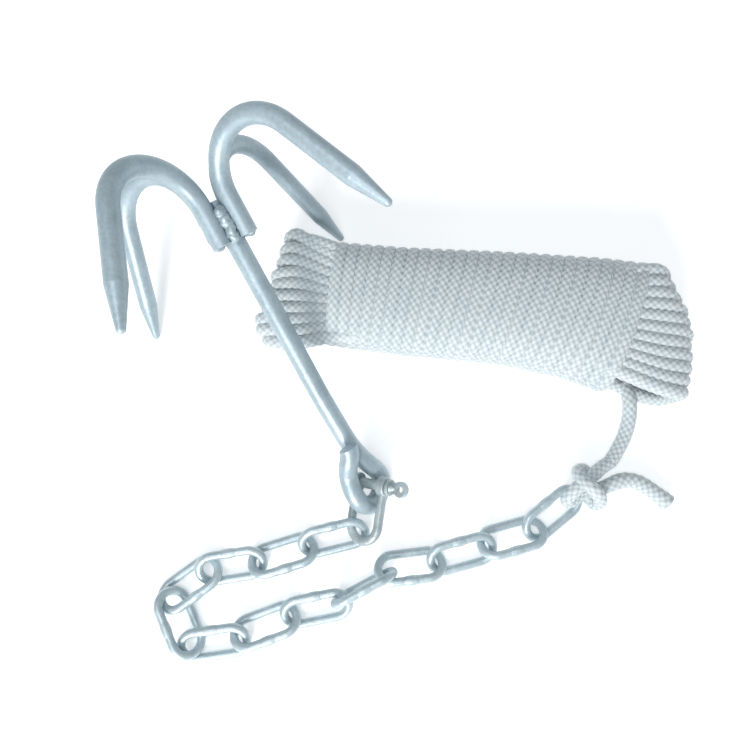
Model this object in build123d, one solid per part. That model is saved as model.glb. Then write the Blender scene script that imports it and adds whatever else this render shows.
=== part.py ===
from build123d import *
from math import asin, atan2, cos, degrees, pi, radians, sin, tan
import os

# A four-fluke grapnel anchor with its shackle, chain and hanked line, lying on flat ground at z = 0.
# Millimetres, +Z up. The origin is under the middle of the anchor and chain together.

# Bars of the anchor
FLUKE_BAR = 10.3
SHANK_BAR = 10.6
TIP_WIDTH = 4.4
CONE_LENGTH = 22.0
CROWN_LENGTH = 20.7
CROWN_GAP = 0.05
SHANK_PAST_CROWN = 22.0
CROWN = Vector(-60.0, 77.8, 76.4)

# Each fluke: turn about the shank, radius of its bend, outward splay of its leg, length of its leg
FLUKES = {
    "fluke_upper_left": (131.0, 28.0, 30.0, 57.4),
    "fluke_lower_left": (-135.6, 31.6, 25.7, 68.9),
    "fluke_upper_right": (42.0, 27.0, 30.0, 62.0),
    "fluke_lower_right": (-49.4, 26.3, 28.8, 69.0),
}

# Eye at the shank's lower end
EYE_RADIUS = 12.9
EYE_HEIGHT = 15.65
EYE_FACING = (-5.0, 37.0)
PIN_IN_EYE = (2.0, -1.4)

# Shackle
PIN_CENTRE = Vector(9.5, -44.8, 14.5)
PIN_FACING = (-12.0, 34.0)
BOW_HEADING = -98.7
BOW_WIRE = 5.2
BOW_REACH = 32.5
BOW_HALF_WIDTH = 9.4
EAR_RADIUS = 5.6
EAR_LENGTH = 5.4
PIN_RADIUS = 3.0
PIN_CLEARANCE = 0.08
THREAD_PITCH = 1.0
THREAD_DEPTH = 0.35
THREAD_PAST_EAR = 2.4
COLLAR_RADIUS = 4.7
COLLAR_LENGTH = 2.4
COLLAR_GAP = 0.15
TAB_WIDTH = 9.0
TAB_LENGTH = 11.0
TAB_THICKNESS = 2.8
TAB_HOLE_RADIUS = 1.8

# Chain
LINK_WIRE = 5.0
LINK_PITCH = 32.0
LINK_WIDTH = 22.0
WELD_RADIUS = 2.9
WELD_LENGTH = 9.0

# Each link in turn from the shackle: x and y of its centre, the heading it runs on, how far it leans.
# A positive lean lifts the right-hand side of its heading, and one link stands almost on edge.
LINKS = (
    (-11.7, -75.2, 193.4, 39.0),
    (-40.8, -85.0, 197.0, -30.0),
    (-70.3, -91.0, 189.0, 30.0),
    (-93.7, -101.0, 216.0, -25.0),
    (-97.8, -121.6, 296.0, 38.0),
    (-78.3, -132.7, 8.0, -28.0),
    (-49.6, -123.7, 20.0, 31.0),
    (-20.9, -114.1, 11.0, -33.0),
    (6.0, -102.2, 27.0, 85.0),
    (32.2, -91.1, 7.0, 32.0),
    (61.9, -84.2, 15.0, -30.0),
    (91.0, -75.1, 15.0, 31.0),
    (115.0, -61.5, 38.0, -29.0),
)

# Line
ROPE = 8.0
KNOT_SIZE = (24.0, 21.0, 16.0)
KNOT_CENTRE = Vector(135.5, -46.0, 8.1)
KNOT_HEADING = 35.0
KNOT_WIRE_GAP = 0.25

# Free stretches of the line, as the corners that its bends are rounded from
LEAD_ROUTE = ((163.0, 5.0, 12.0), (163.0, -8.0, 8.5), (158.0, -22.0, 6.0), (150.0, -32.0, 8.0))
TAIL_ROUTE = ((147.6, -46.0, 8.0), (158.0, -41.6, 7.0), (170.0, -44.6, 5.5), (183.0, -55.5, 4.1))

# Hank: sections along it, as x, y of the middle, half width, half height
HANK_SECTIONS = (
    (-54.0, 72.0, 15.0, 8.0),
    (-50.0, 72.0, 30.0, 13.0),
    (-38.0, 71.5, 35.0, 17.0),
    (-18.0, 68.0, 32.0, 21.0),
    (27.0, 63.5, 34.0, 21.5),
    (87.0, 59.0, 36.5, 23.0),
    (134.0, 52.5, 38.0, 24.0),
    (160.0, 46.5, 38.0, 23.0),
    (180.0, 44.0, 41.0, 22.0),
    (192.0, 43.0, 36.0, 18.0),
    (197.0, 43.0, 22.0, 12.0),
)


def facing(heading, rise):
    """Unit vector with this heading about +Z and this rise above the ground, in degrees."""
    flat = cos(radians(rise))
    return Vector(flat * cos(radians(heading)), flat * sin(radians(heading)), sin(radians(rise)))


UP = Vector(0, 0, 1)
PIN_AXIS = facing(*PIN_FACING)
EYE_NORMAL = facing(*EYE_FACING)


def eye_axes():
    """The eye's own directions: along it, away from the shank, and across it to its raised side."""
    shank = (PIN_CENTRE - CROWN).normalized()
    along = (shank - EYE_NORMAL * shank.dot(EYE_NORMAL)).normalized()
    across = EYE_NORMAL.cross(along)
    if across.Z < 0:
        across = -across
    return along, across


EYE_ALONG, EYE_ACROSS = eye_axes()
EYE_UNDER_PIN = PIN_CENTRE - EYE_ALONG * PIN_IN_EYE[0] - EYE_ACROSS * PIN_IN_EYE[1]
EYE_CENTRE = Vector(EYE_UNDER_PIN.X, EYE_UNDER_PIN.Y, EYE_HEIGHT)
SHANK_AXIS = (EYE_CENTRE - CROWN).normalized()
SIDE = UP.cross(SHANK_AXIS).normalized()
SHANK_TOP = SHANK_AXIS.cross(SIDE)


def bow_axis():
    """Direction from the pin to the bow's crown: on its heading, and square to the pin."""
    flat = facing(BOW_HEADING, 0)
    return (flat - UP * (PIN_AXIS.dot(flat) / PIN_AXIS.Z)).normalized()


BOW_AXIS = bow_axis()


def swept_bar(path, diameter):
    """A round bar along a wire or edge."""
    start = Plane(origin=path @ 0, z_dir=path % 0)
    return sweep(start * Circle(diameter / 2), path=path)


def eye_point(along, across, out=0.0):
    """A point in the eye's own directions, from the middle of its opening."""
    return EYE_CENTRE + EYE_ALONG * along + EYE_ACROSS * across + EYE_NORMAL * out


def beside_shank(back, above, left):
    """A point measured from the eye's middle: back up the shank, above it, and to its left."""
    return EYE_CENTRE - SHANK_AXIS * back + SHANK_TOP * above - SIDE * left


def make_shank():
    """Straight bar that eases sideways into an eye, comes round, and ends lying on top of itself."""
    end = CROWN - SHANK_AXIS * SHANK_PAST_CROWN
    neck = beside_shank(62.0, 0, 0)
    approach = [
        beside_shank(back, 0, 0) - EYE_ACROSS * aside
        for back, aside in ((45.0, 0.6), (34.0, 1.1), (25.0, 2.0), (16.0, 4.2), (8.0, 7.4))
    ]
    loop = [
        eye_point(EYE_RADIUS * sin(radians(turn)), -EYE_RADIUS * cos(radians(turn)))
        for turn in range(30, 166, 27)
    ]
    free_end = [beside_shank(12.5, 7.2, 7.6), beside_shank(19.0, 10.0, 4.4), beside_shank(27.5, 11.2, 0.6)]
    bend = Spline(neck, *approach, *loop, *free_end, tangents=[SHANK_AXIS, -SHANK_AXIS])
    return swept_bar(Wire([Line(end, neck).edge(), bend.edge()]), SHANK_BAR)


def fluke_plane(turn):
    """Plane of one fluke: x runs from the crown's lower face towards the eye, y runs outwards."""
    outward = SIDE * cos(radians(turn)) + SHANK_TOP * sin(radians(turn))
    return Plane(origin=CROWN, x_dir=SHANK_AXIS, z_dir=SHANK_AXIS.cross(outward))


def make_fluke(turn, bend_radius, splay, leg_length):
    """One bar: straight along the shank, over a bend, and out along a leg to a blunt cone."""
    plane = fluke_plane(turn)
    offset = (FLUKE_BAR + SHANK_BAR) / 2 + CROWN_GAP

    def on_bend(angle):
        swing = radians(angle)
        return plane.from_local_coords(
            Vector(-CROWN_LENGTH - bend_radius * sin(swing), offset + bend_radius * (1 - cos(swing)), 0)
        )

    bend_end = 180.0 - splay
    foot = plane.from_local_coords(Vector(0, offset, 0))
    leg = (SHANK_AXIS * cos(radians(splay)) + plane.y_dir * sin(radians(splay))).normalized()
    shoulder = on_bend(bend_end) + leg * (leg_length - CONE_LENGTH)
    path = Wire([
        Line(foot, on_bend(0)).edge(),
        ThreePointArc(on_bend(0), on_bend(bend_end / 2), on_bend(bend_end)).edge(),
        Line(on_bend(bend_end), shoulder).edge(),
    ])
    bar = swept_bar(path, FLUKE_BAR)
    cone_length = CONE_LENGTH - TIP_WIDTH / 2
    at_shoulder = Plane(origin=shoulder, z_dir=leg)
    cone = at_shoulder * Cone(
        FLUKE_BAR / 2, TIP_WIDTH / 2, cone_length, align=(Align.CENTER, Align.CENTER, Align.MIN)
    )
    tip = Pos(shoulder + leg * cone_length) * Sphere(TIP_WIDTH / 2)
    return bar + cone + tip


def rod_between(start, end, radius):
    """A round-ended rod between two points."""
    axis = end - start
    rod = Plane(origin=start, z_dir=axis) * Cylinder(
        radius, axis.length, align=(Align.CENTER, Align.CENTER, Align.MIN)
    )
    return rod + Pos(start) * Sphere(radius) + Pos(end) * Sphere(radius)


def make_crown_welds():
    """Weld metal in the four valleys between neighbouring flukes, trimmed to the bars it joins."""
    turns = sorted(turn for turn, _, _, _ in FLUKES.values())
    bead_radius = 3.6
    bead_out = 9.0
    bars = [rod_between(CROWN - SHANK_AXIS * 40, CROWN + SHANK_AXIS * 20, SHANK_BAR / 2 + 0.01)]
    for turn in turns:
        plane = fluke_plane(turn)
        offset = (FLUKE_BAR + SHANK_BAR) / 2 + CROWN_GAP
        start = plane.from_local_coords(Vector(20, offset, 0))
        end = plane.from_local_coords(Vector(-CROWN_LENGTH, offset, 0))
        bars.append(rod_between(start, end, FLUKE_BAR / 2 + 0.01))
    beads = []
    for index, turn in enumerate(turns):
        following = turns[(index + 1) % len(turns)] + (360.0 if index == len(turns) - 1 else 0.0)
        plane = fluke_plane((turn + following) / 2)
        top = plane.from_local_coords(Vector(-CROWN_LENGTH + 5.5, bead_out, 0))
        bottom = plane.from_local_coords(Vector(-2.0, bead_out, 0))
        bead = rod_between(top, bottom, bead_radius)
        for bar in bars:
            bead = bead - bar
        beads.append(max(bead.solids(), key=lambda solid: solid.volume))
    return Compound(beads)


def across_pin(along_pin, along_bow=0.0):
    """A point in the shackle's own plane, from the middle of its pin."""
    return PIN_CENTRE + PIN_AXIS * along_pin + BOW_AXIS * along_bow


def make_shackle_bow():
    """U-shaped bow with a bored ear at each end."""
    straight = BOW_REACH - BOW_HALF_WIDTH
    path = Wire([
        Line(across_pin(-BOW_HALF_WIDTH, 4.0), across_pin(-BOW_HALF_WIDTH, straight)).edge(),
        ThreePointArc(
            across_pin(-BOW_HALF_WIDTH, straight), across_pin(0, BOW_REACH), across_pin(BOW_HALF_WIDTH, straight)
        ).edge(),
        Line(across_pin(BOW_HALF_WIDTH, straight), across_pin(BOW_HALF_WIDTH, 4.0)).edge(),
    ])
    bow = swept_bar(path, BOW_WIRE)
    for side in (-1, 1):
        at_ear = Plane(origin=across_pin(side * BOW_HALF_WIDTH), z_dir=PIN_AXIS)
        bow = bow + fillet((at_ear * Cylinder(EAR_RADIUS, EAR_LENGTH)).edges().filter_by(GeomType.CIRCLE), 0.9)
    bore = Plane(origin=PIN_CENTRE, z_dir=PIN_AXIS) * Cylinder(PIN_RADIUS + PIN_CLEARANCE, 4 * BOW_HALF_WIDTH)
    return bow - bore


def make_shackle_pin():
    """Screw pin: threaded end, plain shank, collar, and a flat tab with a hole."""
    ear_face = BOW_HALF_WIDTH + EAR_LENGTH / 2
    tail = -ear_face - THREAD_PAST_EAR
    collar_start = ear_face + COLLAR_GAP
    tab_start = collar_start + COLLAR_LENGTH
    upward = (Align.CENTER, Align.CENTER, Align.MIN)
    pin = Pos(0, 0, tail) * Cylinder(PIN_RADIUS, collar_start - tail, align=upward)
    pin = chamfer(pin.edges().group_by(Axis.Z)[0], 0.5)
    for groove in range(2):
        height = tail + 0.9 + groove * THREAD_PITCH
        ring = Pos(0, 0, height) * Torus(PIN_RADIUS + 0.1, THREAD_DEPTH)
        pin = pin - ring
    collar = Pos(0, 0, collar_start) * Cylinder(COLLAR_RADIUS, COLLAR_LENGTH, align=upward)
    collar = fillet(collar.edges().filter_by(GeomType.CIRCLE), 0.7)
    neck = Pos(0, 0, tab_start - 0.6) * Cone(COLLAR_RADIUS - 1.0, TAB_THICKNESS / 2, 3.6, align=upward)
    tab_middle = tab_start + TAB_LENGTH - TAB_WIDTH / 2
    blade = Pos(0, 0, tab_middle) * Rot(90, 0, 0) * Cylinder(TAB_WIDTH / 2, TAB_THICKNESS)
    root = Pos(0, 0, (tab_start + tab_middle) / 2) * Box(
        TAB_WIDTH * 0.72, TAB_THICKNESS, tab_middle - tab_start + 0.8
    )
    blade = fillet((blade + root).edges(), 0.45)
    hole = Pos(0, 0, tab_middle) * Rot(90, 0, 0) * Cylinder(TAB_HOLE_RADIUS, 4 * TAB_THICKNESS)
    shape = pin + collar + neck + blade - hole
    return Plane(origin=PIN_CENTRE, z_dir=PIN_AXIS, x_dir=BOW_AXIS) * shape


def link_plane(link):
    """A link's own plane: x along its heading, y to its left, lowest point of its wire on the ground."""
    x, y, heading, lean = link
    half_width = (LINK_WIDTH - LINK_WIRE) / 2
    centre = Vector(x, y, LINK_WIRE / 2 + half_width * abs(sin(radians(lean))))
    ahead = facing(heading, 0)
    left = UP.cross(ahead)
    across = left * cos(radians(lean)) - UP * sin(radians(lean))
    return Plane(origin=centre, x_dir=ahead, z_dir=ahead.cross(across))


def link_path(link):
    """Centre line of one link's wire."""
    half_width = (LINK_WIDTH - LINK_WIRE) / 2
    return (link_plane(link) * SlotCenterToCenter(LINK_PITCH + LINK_WIRE - 2 * half_width, 2 * half_width)).wire()


def make_link(link, weld_side):
    """One welded link, with the swelling of its weld in the middle of one long side."""
    plane = link_plane(link)
    half_width = (LINK_WIDTH - LINK_WIRE) / 2
    wire = swept_bar(link_path(link), LINK_WIRE)
    half_length = WELD_LENGTH / 2
    edge_radius = LINK_WIRE / 2 - 0.1
    sides = Polyline((-half_length, edge_radius), (-half_length, 0), (half_length, 0), (half_length, edge_radius))
    crest = ThreePointArc((half_length, edge_radius), (0, WELD_RADIUS), (-half_length, edge_radius))
    weld = revolve(make_face(sides.edges() + crest.edges()), axis=Axis.X)
    return wire + plane * Pos(0, weld_side * half_width, 0) * weld


def corner_radii(route):
    """Bend radius at each corner: as large as the shorter of its two runs allows."""
    points = [Vector(*point) for point in route]
    radii = []
    for before, corner, after in zip(points, points[1:], points[2:]):
        turn = radians((corner - before).get_angle(after - corner))
        shorter = min((corner - before).length, (after - corner).length)
        radii.append(0.45 * shorter / tan(turn / 2))
    return radii


def make_tube(name, route):
    """A free stretch of the line: straight runs joined by tangent arcs."""
    radii = corner_radii(route)
    path = FilletPolyline(*route, radius=radii)
    tube = swept_bar(path, ROPE)
    expected = pi * (ROPE / 2) ** 2 * path.length
    print(name, "radii", [round(radius, 1) for radius in radii], "length", round(path.length, 1))
    print(name, "volume", round(tube.volume, 1), "section times length", round(expected, 1))
    return tube


def make_knot():
    """Outer shape of the knot, with a tunnel for the last link's wire."""
    ball = scale(Sphere(0.5), by=KNOT_SIZE)
    knot = Pos(KNOT_CENTRE) * Rot(0, 0, KNOT_HEADING) * ball
    knot = knot - swept_bar(link_path(LINKS[-1]), LINK_WIRE + 2 * KNOT_WIRE_GAP)
    return max(knot.solids(), key=lambda solid: solid.volume)


def make_hank():
    """Outer shape of the hank: oval sections lying on the ground."""
    sections = []
    for x, y, half_width, half_height in HANK_SECTIONS:
        plane = Plane(origin=(x, y, half_height), x_dir=(0, 1, 0), z_dir=(1, 0, 0))
        sections.append(plane * Ellipse(half_width, half_height))
    return loft(sections, ruled=True)


def build_parts():
    """Every node's solid, by name."""
    parts = {"shank": make_shank(), "crown_welds": make_crown_welds()}
    for name, shape in FLUKES.items():
        parts[name] = make_fluke(*shape)
    parts["shackle_bow"] = make_shackle_bow()
    parts["shackle_pin"] = make_shackle_pin()
    for index, link in enumerate(LINKS):
        parts[f"chain_link_{index + 1:02d}"] = make_link(link, -1 if link[3] > 0 else 1)
    parts["rope_knot"] = make_knot()
    parts["rope_tail"] = make_tube("rope_tail", TAIL_ROUTE)
    parts["rope_lead"] = make_tube("rope_lead", LEAD_ROUTE)
    parts["rope_hank"] = make_hank()
    return parts


def main():
    os.makedirs("parts", exist_ok=True)
    for name, shape in build_parts().items():
        export_step(shape, f"parts/{name}.step")


main()
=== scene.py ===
import math

import bpy
import numpy as np
from mathutils import Matrix, Vector, noise


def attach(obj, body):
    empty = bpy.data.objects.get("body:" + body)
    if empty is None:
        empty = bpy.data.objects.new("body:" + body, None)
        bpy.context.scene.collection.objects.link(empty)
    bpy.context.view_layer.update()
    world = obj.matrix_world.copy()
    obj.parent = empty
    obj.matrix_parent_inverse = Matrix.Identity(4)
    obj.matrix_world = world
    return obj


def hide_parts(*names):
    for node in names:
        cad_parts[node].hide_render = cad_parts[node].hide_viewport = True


# A galvanised grapnel anchor with its shackle and chain, and its white braided line in a wrapped hank.
# Numbers about shape are millimetres in the CAD's own frame; MM turns them into Blender's metres.

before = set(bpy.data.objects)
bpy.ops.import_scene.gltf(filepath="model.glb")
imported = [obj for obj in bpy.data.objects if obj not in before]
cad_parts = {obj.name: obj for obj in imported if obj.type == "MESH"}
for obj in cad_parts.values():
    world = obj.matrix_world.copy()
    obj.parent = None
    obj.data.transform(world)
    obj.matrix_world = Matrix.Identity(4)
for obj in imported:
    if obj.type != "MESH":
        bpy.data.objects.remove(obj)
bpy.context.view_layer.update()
MM = 0.001
SCENE = bpy.context.scene
RANDOM = np.random.default_rng(7)

# ---------------------------------------------------------------- camera

CAMERA_AT = Vector((15.1, -57.7, 396.3)) * MM
CAMERA_RIGHT = Vector((1.0, 0.0, -0.0078))
CAMERA_UP = Vector((0.0015, 0.9804, 0.1971))
FOCAL_WIDTHS = 0.8742
SENSOR = 36.0


def make_camera():
    data = bpy.data.cameras.new("camera")
    data.sensor_width = SENSOR
    data.lens = SENSOR * FOCAL_WIDTHS
    data.clip_start = 0.01
    camera = bpy.data.objects.new("camera", data)
    right = CAMERA_RIGHT.normalized()
    back = right.cross(CAMERA_UP).normalized()
    turn = Matrix((right, back.cross(right), back)).transposed().to_4x4()
    camera.matrix_world = Matrix.Translation(CAMERA_AT) @ turn
    SCENE.collection.objects.link(camera)
    SCENE.camera = camera


# ---------------------------------------------------------------- the line's routes

# The free stretches, point for point as the CAD has them, from the knot outwards
LEAD_ROUTE = [(150, -32, 8), (158, -22, 6), (163, -8, 8.5), (163, 5, 12)]
TAIL_ROUTE = [(147.6, -46, 8), (158, -41.6, 7), (170, -44.6, 5.5), (183, -55.5, 4.1)]

# Where the lead dives under the hank, and where the last wrap passes inside it
LEAD_UNDER_HANK = [(160.5, 15, 9.5), (155.5, 24, 6)]
INTO_HANK = [(-8, 56, 7), (0, 50, 11)]

# The wrapping: its turns, their spacing along the far and the near side, and how square they are
WRAPS = 26
WRAP_POINTS = 18
WRAP_TOP_X = (-11.0, 172.0)
WRAP_BOTTOM_X = (-14.5, 147.0)
WRAP_LOWEST = 4.0
WRAP_ROUNDNESS = 0.85
WRAP_START = math.radians(-115)

# The wrapping's far edge, near edge and crest, each as pairs of x and place
WRAP_FAR_Y = [(-15, 95.5), (27, 91.5), (88, 87.8), (148, 83), (176, 80)]
WRAP_NEAR_Y = [(-17, 40), (27, 33.5), (85, 27.4), (120, 19.5), (150, 8.5)]
WRAP_CREST_Z = [(-18, 38), (27, 39), (87, 42), (134, 44), (160, 42)]

# The lengthwise turns inside it: a fan of outer ones, and one more in the core
OUTER_TURNS = 11
CORE_TURN = 0.15
CORE_INSET = 8.0
PASS_POINTS = 11
PASS_MARGIN = 4
LEFT_LOOP_RADIUS = 11.3
RIGHT_LOOP_RADIUS = 16.0
LOOP_STEPS = 6
LOOP_UNEVENNESS = 1.1

# The fan's near edge, far edge, lower layer and upper layer, each as pairs of x and place
FAN_NEAR_Y = [(-52, 37), (-35, 34), (-11, 40), (27, 41.5), (87, 35.4), (134, 23), (156, 14), (176, 4), (192, 7)]
FAN_FAR_Y = [(-52, 100), (-34, 110), (-11, 89), (27, 85), (87, 80), (134, 75), (156, 74), (176, 77), (192, 72)]
FAN_FLOOR_Z = [(-38, 4.4), (-11, 12), (156, 12), (176, 5.0)]
FAN_ROOF_Z = [(-38, 27), (-11, 30), (27, 31), (87, 34), (134, 36), (156, 36), (176, 37)]

# How far each turn's end loop reaches, as pairs of turn and x, with -1 the near turn and 1 the far one
LEFT_TIPS_X = [(-1, -52), (-0.7, -56), (-0.4, -54), (0, -48.5), (0.4, -45), (0.75, -40), (1, -33)]
RIGHT_TIPS_X = [(-1, 188), (-0.6, 192), (0, 193.5), (0.5, 192), (1, 186)]

# The knot: over the link's wire, down through the link, round its end, and over itself into the tail
KNOT_ROUTE = [
    (150, -32, 8), (144, -35, 10), (138, -40, 12.5), (131.5, -44.5, 14.2), (125.5, -49.5, 12.5),
    (123.0, -53.5, 8.0), (125.8, -55.2, 4.4), (130.8, -52.5, 3.7), (136.0, -47.5, 4.4), (138.0, -41.0, 5.0),
    (134.8, -36.2, 6.8), (130.0, -37.2, 9.8), (130.5, -42.2, 14.8), (135.0, -46.6, 18.2), (140.0, -51.0, 15.8),
    (142.6, -55.0, 9.2), (140.2, -56.6, 4.6), (137.2, -52.6, 3.8), (139.6, -48.4, 5.2),
]


def table(x, pairs):
    """The value at x on the straight runs between the pairs."""
    return float(np.interp(x, [p[0] for p in pairs], [p[1] for p in pairs]))


def eased(value):
    """A sine or cosine pushed outwards, so that a circle drawn with it has squarer shoulders."""
    return math.copysign(abs(value) ** WRAP_ROUNDNESS, value)


def wrap_point(share, angle):
    """A point of the wrapping's centre line, share 0 at the left end and 1 at the right."""
    top_x = WRAP_TOP_X[0] + (WRAP_TOP_X[1] - WRAP_TOP_X[0]) * share
    low_x = WRAP_BOTTOM_X[0] + (WRAP_BOTTOM_X[1] - WRAP_BOTTOM_X[0]) * share
    top_y = table(top_x, WRAP_FAR_Y)
    low_y = table(low_x, WRAP_NEAR_Y)
    middle = np.array([(top_x + low_x) / 2, (top_y + low_y) / 2])
    half = np.array([(top_x - low_x) / 2, (top_y - low_y) / 2])
    crest = table(middle[0], WRAP_CREST_Z)
    x, y = middle + half * eased(math.cos(angle))
    z = (crest + WRAP_LOWEST) / 2 + (crest - WRAP_LOWEST) / 2 * eased(math.sin(angle))
    return (x, y, z)


def fan_y(x, q):
    """Place across the hank of the lengthwise turn q, -1 at its near edge and 1 at its far edge."""
    low, high = table(x, FAN_NEAR_Y), table(x, FAN_FAR_Y)
    return (low + high) / 2 + q * (high - low) / 2


def pass_point(x, q, high_layer, inset):
    """A point of turn q in the upper or lower layer, as far inside the fan as inset says."""
    z = table(x, FAN_ROOF_Z) - inset if high_layer else table(x, FAN_FLOOR_Z) + inset
    return (x, fan_y(x, q), z)


def loop_end(q, side, inset):
    """Middle and radius of the loop that turn q makes at one end of the hank."""
    if side < 0:
        radius = LEFT_LOOP_RADIUS - inset
        return table(q, LEFT_TIPS_X) + radius + inset, radius
    radius = RIGHT_LOOP_RADIUS - inset
    return table(q, RIGHT_TIPS_X) - radius - inset, radius


def end_arc(q, q_after, x, radius, side, inset):
    """The loop itself, in an upright plane, drifting from turn q to the turn after it."""
    arc = []
    bottom = pass_point(x, q, False, inset)[2]
    top = pass_point(x, q, True, inset)[2]
    for step in range(1, LOOP_STEPS):
        angle = math.radians(side * (180 // LOOP_STEPS * step - 90))
        share = step / LOOP_STEPS
        now = q + (q_after - q) * share
        reach = x + side * radius * math.cos(angle)
        height = (bottom + top) / 2 + (top - bottom) / 2 * math.sin(angle)
        arc.append((reach, fan_y(reach, now), height))
    return arc


def turn_points(q, q_next, inset):
    """One lengthwise turn of the hank: along the bottom, up round the right end, back and down."""
    left_x, left_radius = loop_end(q, -1, inset)
    right_x, right_radius = loop_end(q, 1, inset)
    spread = RANDOM.normal(0, LOOP_UNEVENNESS, 2)
    stations = np.linspace(left_x + PASS_MARGIN, right_x - PASS_MARGIN, PASS_POINTS)
    points = [pass_point(x, q, False, inset) for x in stations]
    points += end_arc(q, q, right_x + spread[0], right_radius, 1, inset)
    points += [pass_point(x, q, True, inset) for x in stations[::-1]]
    points += end_arc(q, q_next, left_x + spread[1], left_radius, -1, inset)
    return points


def hank_route():
    """The line from the knot: its lead, the wrapping from right to left, then the turns inside."""
    route = LEAD_ROUTE + LEAD_UNDER_HANK
    total = WRAPS * WRAP_POINTS
    for step in range(total + 1):
        route.append(wrap_point(1 - step / total, WRAP_START + 2 * math.pi * step / WRAP_POINTS))
    wrapped = len(route)
    route += INTO_HANK
    outer = [-1 + 2 * k / (OUTER_TURNS - 1) for k in range(OUTER_TURNS)]
    for index, (q, q_next) in enumerate(zip(outer, outer[1:] + [CORE_TURN])):
        points = turn_points(q, q_next, 0.0)
        route += points[3:] if index == 0 else points
    route += turn_points(CORE_TURN, CORE_TURN, CORE_INSET)
    return route[:-4], wrapped


# ---------------------------------------------------------------- the line's surface

# The braid: strands each way round, their lay, and how low and how much higher each set of strands runs
STRANDS = 6
LAY_LENGTH = 25.0
RIGHT_LIFT = (0.40, 0.60)
LEFT_LIFT = (0.20, 0.76)
CORE_RADIUS = 3.42
STRAND_RISE = 0.92
SQUARENESS = 3.4
WRAP_FLATTENING = 0.45
EASE_LENGTH = 20.0
RING_POINTS = 40
RING_STEP = 0.6
HIDDEN_STEP = 2.4
HIDDEN_X = (-2, 138)
GROUND = 0.02
# Braid level given to the middle of each end cap; the line's material paints low levels darker, as shade between
# strands.
HUB_LEVEL = 0.3

# The middle of the hank, from its left end to its right
CORE_X = (-17, 144)
CORE_Y = (67, 47)
CORE_Z = 22.0

# How much thicker the line is drawn: in the knot, in the tail, and where the tail's end splays
KNOT_SWELL = 0.96
TAIL_SWELL = 0.16
SPLAY_SWELL = 0.22
TAIL_FROM = 118
TAIL_EASE = 10
SPLAY_LENGTH = 11


def nurbs_line(points, resolution=12):
    """Points along a smooth line through the route, in millimetres."""
    data = bpy.data.curves.new("route", "CURVE")
    data.dimensions = "3D"
    data.resolution_u = resolution
    spline = data.splines.new("NURBS")
    spline.points.add(len(points) - 1)
    for point, place in zip(spline.points, points):
        point.co = (*[float(v) * MM for v in place], 1)
    spline.order_u = 3
    spline.use_endpoint_u = True
    holder = bpy.data.objects.new("route", data)
    mesh = bpy.data.meshes.new_from_object(holder)
    line = np.empty(len(mesh.vertices) * 3)
    mesh.vertices.foreach_get("co", line)
    bpy.data.objects.remove(holder)
    bpy.data.curves.remove(data)
    bpy.data.meshes.remove(mesh)
    return line.reshape(-1, 3) / MM


def lengths_along(line):
    return np.concatenate([[0], np.cumsum(np.linalg.norm(np.diff(line, axis=0), axis=1))])


def respaced(line, coarse):
    """Ring centres: close together, and further apart where coarse is true."""
    along = lengths_along(line)
    step = np.where(coarse, HIDDEN_STEP, RING_STEP)
    rings = np.concatenate([[0], np.cumsum(np.diff(along) / (step[1:] + step[:-1]) * 2)])
    marks = np.interp(np.linspace(0, rings[-1], int(rings[-1]) + 1), rings, along)
    centres = np.stack([np.interp(marks, along, line[:, k]) for k in range(3)], axis=1)
    return centres, marks


def carried_frames(centres):
    """A normal at each ring that doesn't spin about the line."""
    tangent = np.gradient(centres, axis=0)
    tangent /= np.linalg.norm(tangent, axis=1)[:, None]
    normal = np.empty_like(tangent)
    side = np.cross(tangent[0], (0, 0, 1.0))
    normal[0] = side / np.linalg.norm(side)
    for k in range(1, len(tangent)):
        n = normal[k - 1] - tangent[k] * normal[k - 1].dot(tangent[k])
        normal[k] = n / math.sqrt(n.dot(n))
    return tangent, normal, np.cross(tangent, normal)


def braid_height(turn, along):
    """Height of a diamond braid, 0 in its gaps and 1 on top of a strand."""
    right = STRANDS * (turn + along / LAY_LENGTH)
    left = STRANDS * (turn - along / LAY_LENGTH)
    i, j = np.floor(right), np.floor(left)
    across_right = np.sqrt(np.clip(1 - (2 * (right - i) - 1) ** 2, 0, 1))
    across_left = np.sqrt(np.clip(1 - (2 * (left - j) - 1) ** 2, 0, 1))
    lift_right = 0.5 + 0.5 * np.where(i % 2 == 0, 1, -1) * np.sin(math.pi * left)
    lift_left = 0.5 - 0.5 * np.where(j % 2 == 0, 1, -1) * np.sin(math.pi * right)
    right_height = across_right * (RIGHT_LIFT[0] + RIGHT_LIFT[1] * lift_right)
    left_height = across_left * (LEFT_LIFT[0] + LEFT_LIFT[1] * lift_left)
    return np.maximum(right_height, left_height)


def squared_section(spokes, tangent, outward):
    """Distance out to a rounded square, whose flat sides face outward and its neighbours."""
    out = outward - tangent * (outward * tangent).sum(1)[:, None]
    out /= np.maximum(np.linalg.norm(out, axis=1), 1e-6)[:, None]
    beside = np.cross(tangent, out)
    c = np.abs((spokes * out[:, None]).sum(2))
    s = np.abs((spokes * beside[:, None]).sum(2))
    return (c ** SQUARENESS + s ** SQUARENESS) ** (-1 / SQUARENESS)


def tube_faces(rings):
    """Corner lists of a tube's quads and of the fan that closes each end."""
    base = (np.arange(rings - 1) * RING_POINTS)[:, None]
    start = base + np.arange(RING_POINTS)[None, :]
    following = base + (np.arange(RING_POINTS)[None, :] + 1) % RING_POINTS
    quads = np.stack([start, following, following + RING_POINTS, start + RING_POINTS], axis=2).reshape(-1, 4)
    fans = []
    for which, first in enumerate((0, (rings - 1) * RING_POINTS)):
        hub = rings * RING_POINTS + which
        for k in range(RING_POINTS):
            edge = [first + k, first + (k + 1) % RING_POINTS]
            fans.append([hub] + (edge[::-1] if which == 0 else edge))
    return quads, np.array(fans)


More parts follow.
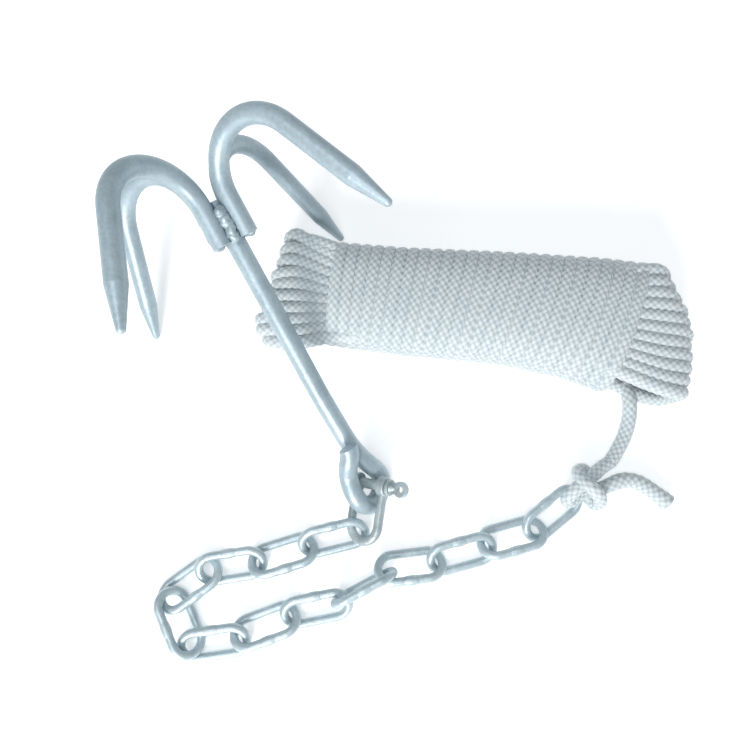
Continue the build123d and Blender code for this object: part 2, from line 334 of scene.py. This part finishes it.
def mesh_from(name, verts, quads, fans):
    mesh = bpy.data.meshes.new(name)
    loops = np.concatenate([quads.ravel(), fans.ravel()])
    starts = np.concatenate([np.arange(len(quads)) * 4, len(quads) * 4 + np.arange(len(fans)) * 3])
    mesh.vertices.add(len(verts))
    mesh.vertices.foreach_set("co", verts.ravel())
    mesh.loops.add(len(loops))
    mesh.loops.foreach_set("vertex_index", loops.astype(np.int32))
    mesh.polygons.add(len(starts))
    mesh.polygons.foreach_set("loop_start", starts.astype(np.int32))
    mesh.update(calc_edges=True)
    mesh.validate()
    mesh.shade_smooth()
    return mesh


def add_braid_layers(mesh, height, turns, marks):
    """The braid's height at each point, and coordinates that run round and along the line."""
    rings = len(marks)
    # The height is also stored as braid_level, which the line's material turns into painted shade in the gaps
    # between strands.
    level = mesh.attributes.new("braid_level", "FLOAT", "POINT")
    level.data.foreach_set("value", np.concatenate([height.ravel(), [HUB_LEVEL] * 2]).astype(np.float32))
    uv = mesh.uv_layers.new(name="rope")
    corner = np.empty(len(mesh.loops), np.int32)
    mesh.loops.foreach_get("vertex_index", corner)
    u = np.concatenate([np.tile(turns, rings), [0, 0]])[corner]
    v = np.concatenate([np.repeat(marks, RING_POINTS), [0, marks[-1]]])[corner] / LAY_LENGTH
    uv.data.foreach_set("uv", np.stack([u, v], axis=1).ravel().astype(np.float32))


def rope_mesh(name, centres, marks, flatten, outward, swell):
    """A braided tube: flatten squares its section against its neighbours, swell makes it thicker."""
    tangent, normal, side = carried_frames(centres)
    turns = np.arange(RING_POINTS) / RING_POINTS
    height = braid_height(turns[None, :] + 0 * marks[:, None], marks[:, None] + 0 * turns[None, :])
    angle = 2 * math.pi * turns
    spokes = normal[:, None] * np.cos(angle)[None, :, None] + side[:, None] * np.sin(angle)[None, :, None]
    shape = 1 + (squared_section(spokes, tangent, outward) - 1) * flatten[:, None]
    radius = (CORE_RADIUS + STRAND_RISE * height) * shape * swell[:, None]
    points = (centres[:, None] + spokes * radius[..., None]).reshape(-1, 3)
    points[:, 2] = np.maximum(points[:, 2], GROUND)
    verts = np.vstack([points, [centres[0]], [centres[-1]]]) * MM
    mesh = mesh_from(name, verts, *tube_faces(len(centres)))
    add_braid_layers(mesh, height, turns, marks)
    made = bpy.data.objects.new(name, mesh)
    SCENE.collection.objects.link(made)
    return made


def away_from_core(centres):
    """At each ring, the direction away from the line that runs through the middle of the hank."""
    core_y = np.interp(centres[:, 0], CORE_X, CORE_Y)
    return centres - np.stack([centres[:, 0], core_y, np.full(len(centres), CORE_Z)], axis=1)


def make_hank(material):
    route, wrapped = hank_route()
    line = nurbs_line(route)
    per_point = len(line) / len(route)
    inside = np.arange(len(line)) > wrapped * per_point
    coarse = inside & (line[:, 0] > HIDDEN_X[0]) & (line[:, 0] < HIDDEN_X[1])
    centres, marks = respaced(line, coarse)
    along = lengths_along(line)
    wraps_from = along[int((len(LEAD_ROUTE) + len(LEAD_UNDER_HANK)) * per_point)]
    in_wraps = (marks > wraps_from) & (marks < along[int(wrapped * per_point)])
    flatten = WRAP_FLATTENING * np.clip((marks - wraps_from) / EASE_LENGTH, 0, 1) * in_wraps
    made = rope_mesh(
        "rope_hank_and_lead", centres, marks, flatten, away_from_core(centres), np.ones(len(centres))
    )
    made.data.materials.append(material)
    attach(made, "hank")
    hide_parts("rope_hank", "rope_lead")


def make_knot(material):
    route = KNOT_ROUTE + TAIL_ROUTE
    line = nurbs_line(route)
    centres, marks = respaced(line, np.zeros(len(line), bool))
    left = marks[-1] - marks
    swell = KNOT_SWELL + TAIL_SWELL * np.clip((marks - TAIL_FROM) / TAIL_EASE, 0, 1)
    swell += SPLAY_SWELL * np.clip(1 - left / SPLAY_LENGTH, 0, 1) ** 2
    made = rope_mesh(
        "rope_knot_and_tail", centres, marks, np.zeros(len(centres)), centres * 0 + (0, 0, 1.0), swell
    )
    made.data.materials.append(material)
    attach(made, "link_13")
    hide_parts("rope_knot", "rope_tail")


# ---------------------------------------------------------------- materials

# Bump distances, in metres: the zinc's runs and its pits, and the line's fibres
RUN_HEIGHT = 0.0007
PIT_HEIGHT = 0.0002
FIBRE_HEIGHT = 0.00025


def node_material(name):
    material = bpy.data.materials.new(name)
    material.use_nodes = True
    nodes, links = material.node_tree.nodes, material.node_tree.links
    return material, nodes, links, nodes["Principled BSDF"]


def add_noise(nodes, links, place, scale, detail=3.0, rough=0.55):
    made = nodes.new("ShaderNodeTexNoise")
    made.inputs["Scale"].default_value = scale
    made.inputs["Detail"].default_value = detail
    made.inputs["Roughness"].default_value = rough
    links.new(place, made.inputs["Vector"])
    return made.outputs["Fac"]


def add_ramp(nodes, links, value, *stops):
    made = nodes.new("ShaderNodeValToRGB")
    made.color_ramp.elements.remove(made.color_ramp.elements[-1])
    for index, (place, colour) in enumerate(stops):
        element = made.color_ramp.elements[0] if index == 0 else made.color_ramp.elements.new(place)
        element.position = place
        element.color = (*colour, 1)
    links.new(value, made.inputs["Fac"])
    return made.outputs["Color"]


def add_product(nodes, links, amount, first, second):
    """The first colour darkened by the second, as far as amount says."""
    made = nodes.new("ShaderNodeMix")
    made.data_type = "RGBA"
    made.blend_type = "MULTIPLY"
    made.inputs["Factor"].default_value = amount
    links.new(first, made.inputs["A"])
    links.new(second, made.inputs["B"])
    return made.outputs["Result"]


def add_bump(nodes, links, height, strength, distance, below=None):
    made = nodes.new("ShaderNodeBump")
    made.inputs["Strength"].default_value = strength
    made.inputs["Distance"].default_value = distance
    links.new(height, made.inputs["Height"])
    if below is not None:
        links.new(below, made.inputs["Normal"])
    return made.outputs["Normal"]


def galvanised(name, dark, light, grain, metal=0.45, rough=(0.36, 0.54), lumps=0.3):
    """Zinc coat: pale mottling, painted shade darkening the hollows, fine pits and a few soft runs."""
    material, nodes, links, shader = node_material(name)
    place = nodes.new("ShaderNodeTexCoord").outputs["Object"]
    broad = add_noise(nodes, links, place, grain * 0.22)
    fine = add_noise(nodes, links, place, grain * 2.2, 5.0)
    tone = add_ramp(nodes, links, broad, (0.30, dark), (0.70, light))
    speck = add_ramp(nodes, links, fine, (0.36, (0.78, 0.80, 0.82)), (0.62, (1, 1, 1)))
    colour = add_product(nodes, links, 0.55, tone, speck)
    # Painted shade: where the surface curves inwards (low pointiness) the colour is darkened towards bluish grey.
    geometry = nodes.new("ShaderNodeNewGeometry")
    hollow_shade = add_ramp(nodes, links, geometry.outputs["Pointiness"], (0.44, (0.55, 0.60, 0.64)), (0.50, (1, 1, 1)))
    links.new(add_product(nodes, links, 0.8, colour, hollow_shade), shader.inputs["Base Color"])
    spread = nodes.new("ShaderNodeMapRange")
    spread.inputs["To Min"].default_value, spread.inputs["To Max"].default_value = rough
    links.new(fine, spread.inputs["Value"])
    links.new(spread.outputs["Result"], shader.inputs["Roughness"])
    shader.inputs["Metallic"].default_value = metal
    runs = add_bump(nodes, links, add_noise(nodes, links, place, grain, 2.0), lumps, RUN_HEIGHT)
    links.new(add_bump(nodes, links, fine, 0.25, PIT_HEIGHT, runs), shader.inputs["Normal"])
    return material


def braided(name):
    """White braid: painted bluish shade in the gaps between strands, lighter strand tops, and fine fibres along each
    strand.
    """
    material, nodes, links, shader = node_material(name)
    level = nodes.new("ShaderNodeAttribute")
    level.attribute_name = "braid_level"
    # Painted shade: the colour runs from bluish grey where the braid is low, in the gaps between strands, to pale
    # grey on the strand tops.
    tone = add_ramp(
        nodes, links, level.outputs["Fac"],
        (0.10, (0.27, 0.33, 0.36)), (0.45, (0.42, 0.49, 0.52)), (0.90, (0.66, 0.70, 0.71)),
    )
    place = nodes.new("ShaderNodeTexCoord").outputs["Object"]
    broad = add_ramp(nodes, links, add_noise(nodes, links, place, 90.0), (0.3, (0.90, 0.93, 0.95)), (0.7, (1, 1, 1)))
    links.new(add_product(nodes, links, 1.0, tone, broad), shader.inputs["Base Color"])
    uv = nodes.new("ShaderNodeUVMap")
    uv.uv_map = "rope"
    stretch = nodes.new("ShaderNodeMapping")
    stretch.inputs["Scale"].default_value = (STRANDS * 9.0, STRANDS * 4.0, 1)
    links.new(uv.outputs["UV"], stretch.inputs["Vector"])
    fibres = add_noise(nodes, links, stretch.outputs["Vector"], 1.0, 2.0)
    links.new(add_bump(nodes, links, fibres, 0.35, FIBRE_HEIGHT), shader.inputs["Normal"])
    shader.inputs["Roughness"].default_value = 0.55
    shader.inputs["Sheen Weight"].default_value = 0.25
    return material


# ---------------------------------------------------------------- light and floor

FLOOR_HALF = 6.0


def make_floor():
    """A white ground that glows a little, so that it stays paler than the object."""
    data = bpy.data.meshes.new("floor")
    corners = [(x * FLOOR_HALF, y * FLOOR_HALF, 0) for x, y in ((-1, -1), (1, -1), (1, 1), (-1, 1))]
    data.from_pydata(corners, [], [(0, 1, 2, 3)])
    floor = bpy.data.objects.new("floor", data)
    SCENE.collection.objects.link(floor)
    material, _, _, shader = node_material("floor_paper")
    shader.inputs["Base Color"].default_value = (0.96, 0.96, 0.96, 1)
    shader.inputs["Roughness"].default_value = 0.9
    shader.inputs["Emission Color"].default_value = (1, 1, 1, 1)
    shader.inputs["Emission Strength"].default_value = 0.34
    data.materials.append(material)


def add_area(name, place, target, size, watts, colour):
    data = bpy.data.lights.new(name, "AREA")
    data.shape = "DISK"
    data.size = size
    data.energy = watts
    data.color = colour
    light = bpy.data.objects.new(name, data)
    light.location = place
    light.rotation_mode = "QUATERNION"
    light.rotation_quaternion = (Vector(target) - Vector(place)).to_track_quat("-Z", "Y")
    SCENE.collection.objects.link(light)


def make_light():
    world = bpy.data.worlds.new("studio")
    world.use_nodes = True
    background = world.node_tree.nodes["Background"]
    background.inputs["Color"].default_value = (0.93, 0.97, 1.0, 1)
    background.inputs["Strength"].default_value = 0.50
    SCENE.world = world
    add_area("key", (-0.25, -0.95, 0.62), (0, 0, 0.02), 0.45, 11.0, (1.0, 0.99, 0.97))
    add_area("top", (-0.3, -0.2, 1.3), (0, 0, 0), 0.6, 4.0, (0.93, 0.97, 1.0))
    SCENE.view_settings.view_transform = "Standard"


# ---------------------------------------------------------------- the metal

# Weld beads: the direction that they run, then the size of their ripples and lumps
WELD_RUN = Vector((0.46, -0.80, -0.40)).normalized()
WELD_MESH_STEP = 0.0006
RIPPLE_PITCH = 3.0
RIPPLE_HEIGHT = 0.16
RIPPLE_WANDER = 0.7
WANDER_SCALE = 0.25
LUMP_HEIGHT = 0.9
LUMP_SCALE = 0.28
LUMP_SHIFT = Vector((3, 1, 7))


def make_welds(material):
    """The weld beads again, with ripples along each run and uneven edges."""
    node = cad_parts["crown_welds"]
    made = bpy.data.objects.new("weld_beads", node.data.copy())
    made.matrix_world = node.matrix_world
    SCENE.collection.objects.link(made)
    remesh = made.modifiers.new("even_mesh", "REMESH")
    remesh.mode = "VOXEL"
    remesh.voxel_size = WELD_MESH_STEP
    evened = bpy.data.meshes.new_from_object(made.evaluated_get(bpy.context.evaluated_depsgraph_get()))
    made.modifiers.clear()
    made.data = evened
    for vertex in evened.vertices:
        place = vertex.co / MM
        wander = RIPPLE_WANDER * noise.noise(place * WANDER_SCALE)
        ripple = math.sin(2 * math.pi * (place.dot(WELD_RUN) / RIPPLE_PITCH + wander))
        lump = noise.noise(place * LUMP_SCALE + LUMP_SHIFT)
        vertex.co += vertex.normal * (RIPPLE_HEIGHT * ripple + LUMP_HEIGHT * lump) * MM
    evened.shade_smooth()
    evened.materials.clear()
    evened.materials.append(material)
    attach(made, "anchor")
    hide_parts("crown_welds")


def dress_frame():
    """Zinc finishes for the pieces that keep their CAD shape: bars, shackle and chain."""
    bar = galvanised("galvanised_bar", (0.36, 0.45, 0.50), (0.47, 0.57, 0.62), 260.0)
    shackle = galvanised("galvanised_shackle", (0.38, 0.44, 0.46), (0.56, 0.63, 0.65), 420.0, lumps=0.5)
    chain = galvanised("galvanised_chain", (0.44, 0.53, 0.57), (0.57, 0.67, 0.71), 420.0, rough=(0.32, 0.48))
    for name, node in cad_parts.items():
        if name.startswith("rope"):
            continue
        material = bar
        if name.startswith("shackle"):
            material = shackle
        elif name.startswith("chain"):
            material = chain
        node.data.materials.clear()
        node.data.materials.append(material)


# ---------------------------------------------------------------- putting it together

make_camera()
line_material = braided("braided_line")
make_hank(line_material)
make_knot(line_material)
make_welds(galvanised("galvanised_weld", (0.36, 0.45, 0.49), (0.48, 0.57, 0.61), 500.0, lumps=0.5))
dress_frame()
make_floor()
make_light()
